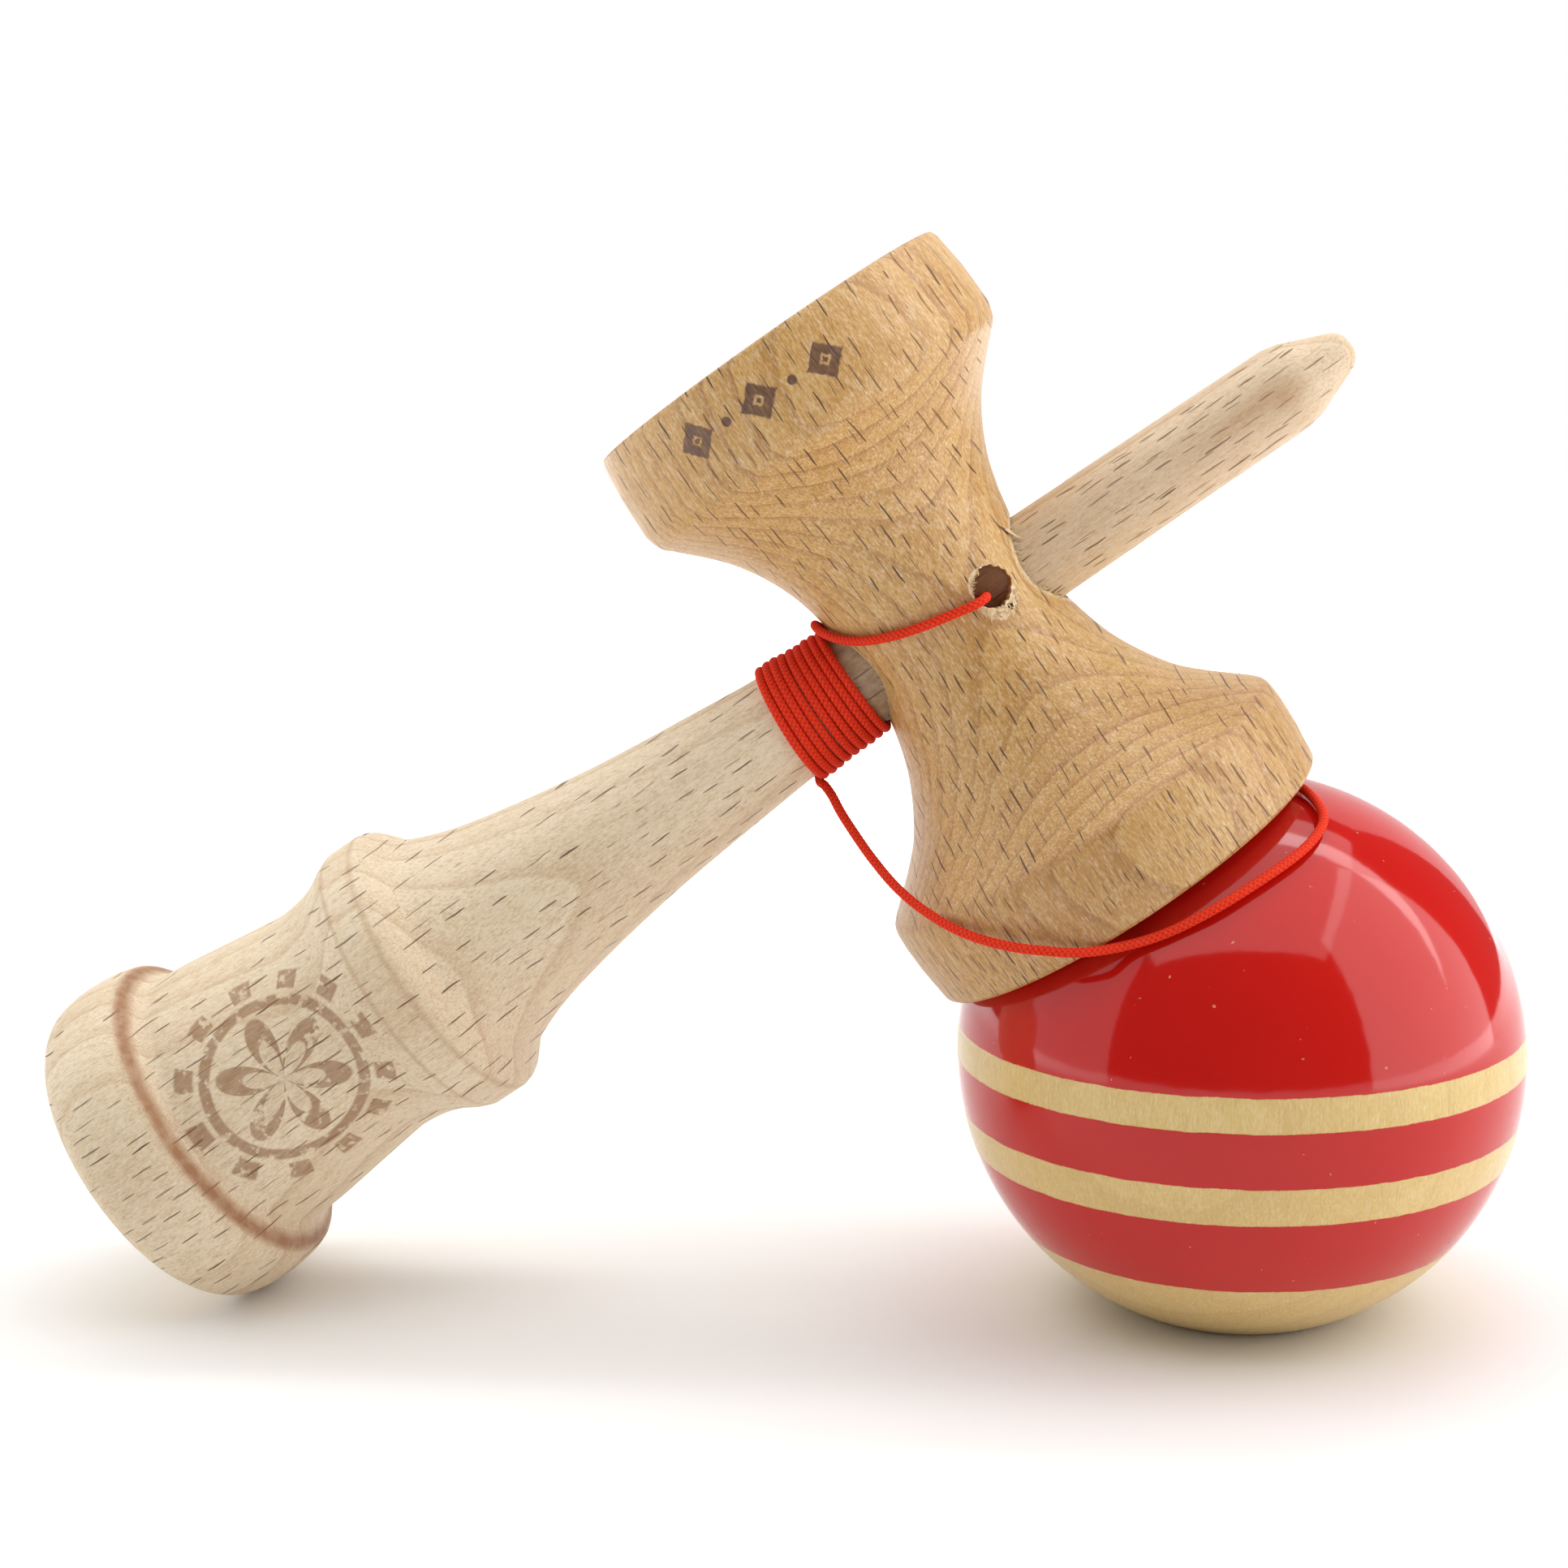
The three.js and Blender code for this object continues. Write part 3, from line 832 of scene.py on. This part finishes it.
def sarado_outline():
    """Large cup, its band, the waist, the small cup's band and its hollow."""
    body = (
        hollow(-33.64, 21.3, 14, -1, 26)
        + [(22.95, -33.64), (23.3, -33.25), (23.7, -29.4), (23.78, -26.6)]
        + spline([(23.7, -25), (23.45, -24.1), (22.7, -23.3)], 6)
        + spline([(19.35, -20.4), (16.2, -17), (12.9, -10.9), (11, -3.4), (10.8, 0.56)], 30)
        + spline([(11, 4), (12.5, 11.1), (15.58, 17.1), (20.13, 22.1)], 24)[:-1]
        + spline([(20.13, 22.1), (21.1, 23.1), (21.65, 24.9)], 6)
        + [(21.5, 29.5), (21, 33.3), (20.7, 33.96)]
        + hollow(33.96, 18.95, 12, 1, 22)[::-1]
    )
    return finer(eased(body, 0.3), 1.2)


STRING_MOUTH = 2.8  # radius of the string hole's countersink on the ball


def ball_outline():
    """The sphere from its foot up, the string hole, the bead's chamber and the spike's bore."""
    mouth = math.sqrt(BALL_RADIUS**2 - STRING_MOUTH**2)
    foot = -math.asin(FOOT_HEIGHT / BALL_RADIUS)
    body = (
        [(11, -FOOT_HEIGHT)]
        + arc(0, BALL_RADIUS, foot, math.acos(STRING_MOUTH / BALL_RADIUS), 96)
        + [(2.35, mouth - 0.3), (1.9, mouth - 0.9), (1.4, mouth - 1.4), (1.4, 14)]
        + [(8.5, 10), (8.5, -24.4), (11, -FOOT_HEIGHT)]
    )
    return eased(body, 0.3)


def cut(piece, *cutters):
    """Cuts the cutters out of a piece for good, and removes them."""
    for cutter in cutters:
        modifier = piece.modifiers.new("cut", "BOOLEAN")
        modifier.operation, modifier.solver, modifier.object = "DIFFERENCE", "EXACT", cutter
    bpy.context.view_layer.update()
    graph = bpy.context.evaluated_depsgraph_get()
    mesh = bpy.data.meshes.new_from_object(piece.evaluated_get(graph))
    piece.modifiers.clear()
    piece.data = mesh
    for cutter in cutters:
        bpy.data.objects.remove(cutter)
    smooth(mesh, 35)


def ragged_cylinder(name, radius, start, end, rough, seed, matrix, segments=72):
    """A cutter whose wall wanders, as a drill leaves it in cross grain. Along its own Z."""
    rng = random.Random(seed)
    waves = [(rng.randint(2, 17), rng.uniform(0, 6.3), rng.uniform(0.3, 1.0)) for _ in range(9)]
    steps = 6
    vertices = []
    for level in range(steps + 1):
        for i in range(segments):
            angle = 2 * math.pi * i / segments
            wander = sum(a * math.sin(n * angle + p + 0.3 * level) for n, p, a in waves) / 5
            r = (radius + rough * wander) * MM
            height = (start + (end - start) * level / steps) * MM
            vertices.append((r * math.cos(angle), r * math.sin(angle), height))
    faces = [
        tuple(reversed(range(segments))),
        tuple(range(steps * segments, (steps + 1) * segments)),
    ]
    for level in range(steps):
        for i in range(segments):
            j = (i + 1) % segments
            a, b = level * segments, (level + 1) * segments
            faces.append((a + i, a + j, b + j, b + i))
    cutter = add_mesh(name, vertices, faces)
    cutter.matrix_world = matrix
    return cutter


def drilled(across, up):
    """Place of a cutter along the string hole's axis, its Z outwards, that far from the axis."""
    c, s = math.cos(HOLE_TURN), math.sin(HOLE_TURN)
    x, y, z = HOLE[0] + across * c, HOLE[1] + across * s, HOLE[2] + up
    return Matrix([[c, 0, s, x * MM], [s, 0, -c, y * MM], [0, 1, 0, z * MM], [0, 0, 0, 1]])


def make_ken():
    ken = turned("ken_turned", ken_outline(), 160, KEN_PLACE)
    ken.data.materials.append(ken_material())
    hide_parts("ken")
    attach(ken, "ken")


BORE = [(0, -16), (5.9, -16), (5.28, 16), (0, 16)]  # tapers towards the spike, along the handle


def make_sarado():
    sarado = turned("sarado_turned", sarado_outline(), 176, SARADO_PLACE)
    bore = turned("bore", BORE, 72, KEN_PLACE)
    hole_place = SARADO_PLACE @ drilled(0, 0)
    hole = ragged_cylinder("string_hole", HOLE_RADIUS, -4.5, 4.5, 0.3, 3, hole_place)
    pit_place = SARADO_PLACE @ drilled(0.45, -2.75)
    pit = ragged_cylinder("torn_pit", 0.34, -2.5, 2.0, 0.2, 8, pit_place, 16)
    pocket_place = SARADO_PLACE @ Matrix([
        [1, 0, 0, KNOT[0] * MM], [0, 0, -1, 0], [0, 1, 0, KNOT[2] * MM], [0, 0, 0, 1]
    ])
    pocket = ragged_cylinder("knot_pocket", 1.9, 3.0, 8.6, 0.0, 4, pocket_place)
    cut(sarado, bore, hole, pocket, pit)
    sarado.data.materials.clear()
    sarado.data.materials.append(sarado_material())
    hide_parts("sarado")
    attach(sarado, "sarado")


def waist_radius(z):
    """Of the cross-piece near its middle, at that height along its own Z."""
    return 10.8 + 0.0122 * (z - 0.56) ** 2


def hole_edge(angle, away):
    """Point of the waist's surface that far from the string hole's rim."""
    c, s = math.cos(HOLE_TURN), math.sin(HOLE_TURN)
    radius = HOLE_RADIUS + away
    q1, q2 = radius * math.cos(angle), radius * math.sin(angle)
    x, y, z = HOLE[0] + q1 * c, HOLE[1] + q1 * s, HOLE[2] + q2
    b = x * s - y * c
    t = -b + math.sqrt(b * b - (x * x + y * y - waist_radius(z) ** 2))
    return np.array([x + t * s, y - t * c, z])


def bore_edge(angle, sunk, side, ring):
    """Point on the rim of the handle's bore, sunk that far. side is 1 towards the spike."""
    y, z = -ring * math.cos(angle), ring * math.sin(angle)
    return np.array([side * (math.sqrt(waist_radius(z) ** 2 - y * y) - sunk), y, z])


def spike_edge(angle, sunk):
    return bore_edge(angle, sunk, 1, 5.5)


def neck_edge(angle, sunk):
    return bore_edge(angle, sunk, -1, 6.0)


def blade(vertices, faces, base, along, length, width, lift, sunk=0.1):
    """One torn fibre: a thin curling strip that narrows to a point, closed all round."""
    out = np.array([base[0], base[1], 0.0]) / math.hypot(base[0], base[1])
    along = along / np.linalg.norm(along)
    side = np.cross(along, out)
    side /= np.linalg.norm(side)
    first, steps = len(vertices), 5
    for i in range(steps + 1):
        w = i / steps
        middle = base + along * length * w + out * (lift * w * w - 0.04 - sunk * (1 - w) ** 2)
        half = width / 2 * (1 - w) ** 0.7 + 0.015
        thick = 0.09 * (1 - 0.7 * w)
        for across, up in ((-1, 0), (1, 0), (1, 1), (-1, 1)):
            vertices.append(tuple((middle + side * half * across + out * thick * up) * MM))
    for i in range(steps):
        a = first + 4 * i
        for j in range(4):
            k = (j + 1) % 4
            faces.append((a + j, a + k, a + 4 + k, a + 4 + j))
    faces.append((first + 3, first + 2, first + 1, first))
    last = first + 4 * steps
    faces.append((last, last + 1, last + 2, last + 3))


# Torn fibres: how many, the edge they stand on, and the ranges of their angle in degrees, distance
# from the edge, direction in X, Y and Z, length, width and lift.
TEARS = (
    (26, hole_edge, (92, 178), (0.0, 0.3), ((-0.3, 1.0), (-0.6, 0.1), (-1.0, 0.6)),
     (0.25, 0.6), (0.08, 0.2), (0.0, 0.25)),
    (46, hole_edge, (200, 322), (0.05, 1.1), ((-0.5, 0.6), (-0.4, 0.2), (-1.0, 0.5)),
     (0.3, 0.9), (0.08, 0.26), (0.05, 0.35)),
    (70, spike_edge, (-72, 58), (0.0, 0.35), ((0.1, 1.0), (-0.1, 0.3), (-1.2, 0.3)),
     (0.3, 0.95), (0.06, 0.22), (0.0, 0.2)),
    (40, neck_edge, (-66, 66), (0.0, 0.4), ((-0.7, 0.0), (-0.1, 0.2), (-1.0, 1.0)),
     (0.25, 0.7), (0.06, 0.2), (0.0, 0.15)),
)
# The two large splinters beside the split: base, direction, length, width, lift and how far sunk.
SPLINTERS = (
    ((10.05, -4.5, 5.5), (0.5, 0.1, -2.4), 2.7, 0.75, 0.25, 0.35),
    ((10.2, -4.3, 4.5), (0.55, 0.0, -1.6), 1.9, 0.4, 0.3, 0.3),
)


def make_torn_fibres():
    """Fibres torn up where the drills came out: round the string hole and on the bore's rims."""
    rng = random.Random(21)
    vertices, faces = [], []
    for count, edge, angles, away, directions, *sizes in TEARS:
        for _ in range(count):
            angle = math.radians(rng.uniform(*angles))
            base = edge(angle, rng.uniform(*away))
            along = np.array([rng.uniform(*span) for span in directions])
            blade(vertices, faces, base, along, *(rng.uniform(*span) for span in sizes))
    for base, along, *sizes in SPLINTERS:
        blade(vertices, faces, np.array(base), np.array(along), *sizes)
    fibres = add_mesh("torn_fibres", vertices, faces, 50)
    fibres.matrix_world = SARADO_PLACE
    wood = plain_wood_material("torn_wood", srgb(232, 206, 160), srgb(200, 160, 106), 6.1)
    fibres.data.materials.append(wood)
    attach(fibres, "sarado")


BEAD_RADIUS, BEAD_HOLE, BEAD_HEIGHT = 3.5, 0.95, 7.4  # the last from the ball's middle


def make_ball():
    ball = turned("tama_turned", ball_outline(), 192, BALL_PLACE, closed=True)
    ball.data.materials.append(ball_material())
    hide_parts("tama")
    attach(ball, "tama")
    bead_half = math.acos(BEAD_HOLE / BEAD_RADIUS)
    side = arc(0, BEAD_RADIUS, -bead_half, bead_half, 30)
    place = BALL_PLACE @ Matrix.Translation((0, 0, BEAD_HEIGHT * MM))
    bead = turned("bead_turned", eased(side + [side[0]], 0.2), 48, place, closed=True)
    wood = plain_wood_material("bead_wood", srgb(226, 200, 156), srgb(196, 160, 112), 3.3)
    bead.data.materials.append(wood)
    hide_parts("tama_bead")
    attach(bead, "bead")


# ---------------------------------------------------------------- string: its pieces


def knot_line(size, squash, tail):
    """An overhand knot's line, closed up tight, ending in a short tail."""
    points = []
    for t in np.linspace(0, 2 * math.pi, 60, endpoint=False):
        r = 1 + 0.45 * math.cos(3 * t)
        x, y = size * r * math.cos(2 * t), size * r * math.sin(2 * t)
        points.append([x, y, size * squash * math.sin(3 * t)])
    last = np.array(points[-1])
    points += [list(last + np.array(tail) * w) for w in (0.35, 0.7, 1.0)]
    return points


def make_string():
    red = braid_material()
    held = tube("string_wound", held_line)
    free = tube("string_free", free_line)
    sarado_knot = tube("sarado_knot_tied", through([
        from_cross(np.array(KNOT) + p) for p in knot_line(0.62, 0.62, (0, 0, 0.3))
    ], 3))
    centre = np.array([BALL_X, 0, FOOT_HEIGHT + 1.95])
    ball_knot = tube("tama_knot_tied", through([
        centre + p for p in knot_line(0.72, 0.85, (1.4, 1.8, 0.9))
    ], 3))
    for piece in (held, free, sarado_knot, ball_knot):
        piece.data.materials.append(red)
    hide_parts("string_winding", "string_lead")
    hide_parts("string_loop", "string_inner")
    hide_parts("sarado_knot")
    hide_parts("tama_knot")
    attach(held, "sarado")
    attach(sarado_knot, "sarado")
    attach(ball_knot, "bead")
    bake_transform(free)


# ---------------------------------------------------------------- floor and light


GLOW_START, GLOW_SPAN, GLOW = 270.0, 260.0, 0.9  # distance from the object, mm, and strength


def make_floor():
    """White paper, lit as brightly far away as it is under the light tent."""
    size = 1.7
    corners = [(-size, -size, 0), (size, -size, 0), (size, size, 0), (-size, size, 0)]
    floor = add_mesh("floor", corners, [(0, 1, 2, 3)])
    floor.location.z = -0.0001
    paint = Paint("floor_paper")
    cloud = paint.noise(paint.x * 0.01, paint.y * 0.01, 0.0, detail=2.0)
    colour = paint.blend(cloud, srgb(243, 243, 242), srgb(247, 247, 246))
    floor.data.materials.append(paint.finish(colour, 0.9))
    glow = (distance(paint.x, paint.y) - GLOW_START) / GLOW_SPAN
    glow = glow.op("MULTIPLY", GLOW, clamp=True)
    paint.tree.links.new(glow.socket, paint.bsdf.inputs["Emission Strength"])


# The walls and roof of a white light tent, open at the front, and a wash for the floor behind it:
# name, place, the point it faces, width and height, strength.
PANELS = (
    ("left_wall", (-0.35, -0.05, 0.24), (0, -0.05, 0.24), (0.46, 0.84), 1.0),
    ("right_wall", (0.40, -0.10, 0.24), (0, -0.10, 0.24), (0.46, 0.78), 2.1),
    ("roof", (0.02, -0.02, 0.50), (0.02, -0.02, 0), (0.7, 0.66), 1.5),
    ("back_wall", (0.02, 0.42, 0.24), (0.02, 0, 0.24), (0.7, 0.46), 0.8),
    ("wash_back", (0, 0.6, 1.5), (0, 3.2, 0), (6.0, 1.5), 4.0),
)


def make_panel(name, place, aim, size, strength):
    data = bpy.data.lights.new(name, "AREA")
    data.shape, data.size, data.size_y = "RECTANGLE", size[0], size[1]
    data.energy = strength * size[0] * size[1] * math.pi
    panel = bpy.data.objects.new(name, data)
    panel.location = place
    panel.rotation_euler = (Vector(aim) - Vector(place)).to_track_quat("-Z", "Y").to_euler()
    panel.visible_camera = False
    bpy.context.scene.collection.objects.link(panel)


def make_light():
    for panel in PANELS:
        make_panel(*panel)
    world = bpy.data.worlds.new("studio")
    world.use_nodes = True
    tree = world.node_tree
    background = tree.nodes["Background"]
    background.inputs["Color"].default_value = (0.13, 0.13, 0.13, 1)  # what lights the object
    seen = tree.nodes.new("ShaderNodeBackground")
    seen.inputs["Color"].default_value = (1.0, 1.0, 1.0, 1)  # what shows behind the floor
    rays = tree.nodes.new("ShaderNodeLightPath")
    mix = tree.nodes.new("ShaderNodeMixShader")
    tree.links.new(rays.outputs["Is Camera Ray"], mix.inputs[0])
    tree.links.new(background.outputs[0], mix.inputs[1])
    tree.links.new(seen.outputs[0], mix.inputs[2])
    tree.links.new(mix.outputs[0], tree.nodes["World Output"].inputs["Surface"])
    bpy.context.scene.world = world
    bpy.context.scene.view_settings.view_transform = "Standard"


make_string()
make_ken()
make_sarado()
make_torn_fibres()
make_ball()
make_floor()
make_light()
